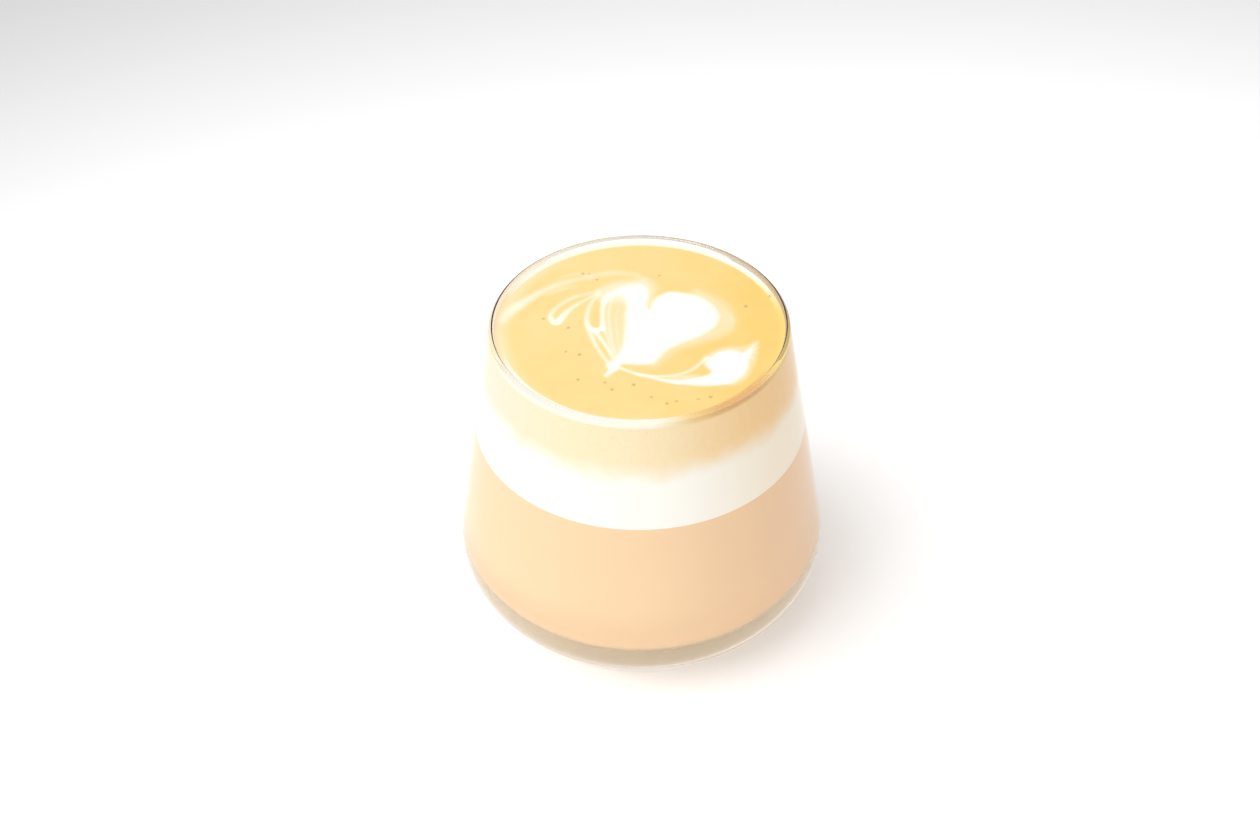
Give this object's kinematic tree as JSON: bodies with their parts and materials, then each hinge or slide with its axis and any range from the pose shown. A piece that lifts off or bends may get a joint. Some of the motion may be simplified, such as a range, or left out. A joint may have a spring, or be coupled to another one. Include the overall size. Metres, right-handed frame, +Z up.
{
  "type": "flat white coffee in a clear glass tumbler",
  "caption": "Flat white in a clear tumbler that widens to a round belly and tapers in to a thick base: milky coffee, white milk foam and golden crema in layers, with a poured white heart and leaf on top.",
  "frame": {"origin": "middle of the tumbler's flat base, on the surface that it stands on", "axes": "+Z up along the tumbler's axis, -Y towards the viewer's side, where the point of the poured heart lies, +X to the viewer's right"},
  "size_m": [0.0934, 0.0934, 0.084],
  "materials": {
    "clear_glass": "clear polished glass, thick at the base",
    "milky_coffee": "opaque liquid, light tan, glossy where it is wet",
    "milk_foam": "dense soft white foam",
    "crema": "golden foam with fine bubbles, satin on top",
    "poured_milk": "fine white foam, satin"
  },
  "bodies": {
    "root": {"tumbler": "clear_glass", "milky_coffee": "milky_coffee", "milk_foam": "milk_foam", "crema": "crema", "heart_pour": "poured_milk", "leaf_pour": "poured_milk", "sweep_pour": "poured_milk", "hook_pour": "poured_milk"}
  },
  "joints": []
}
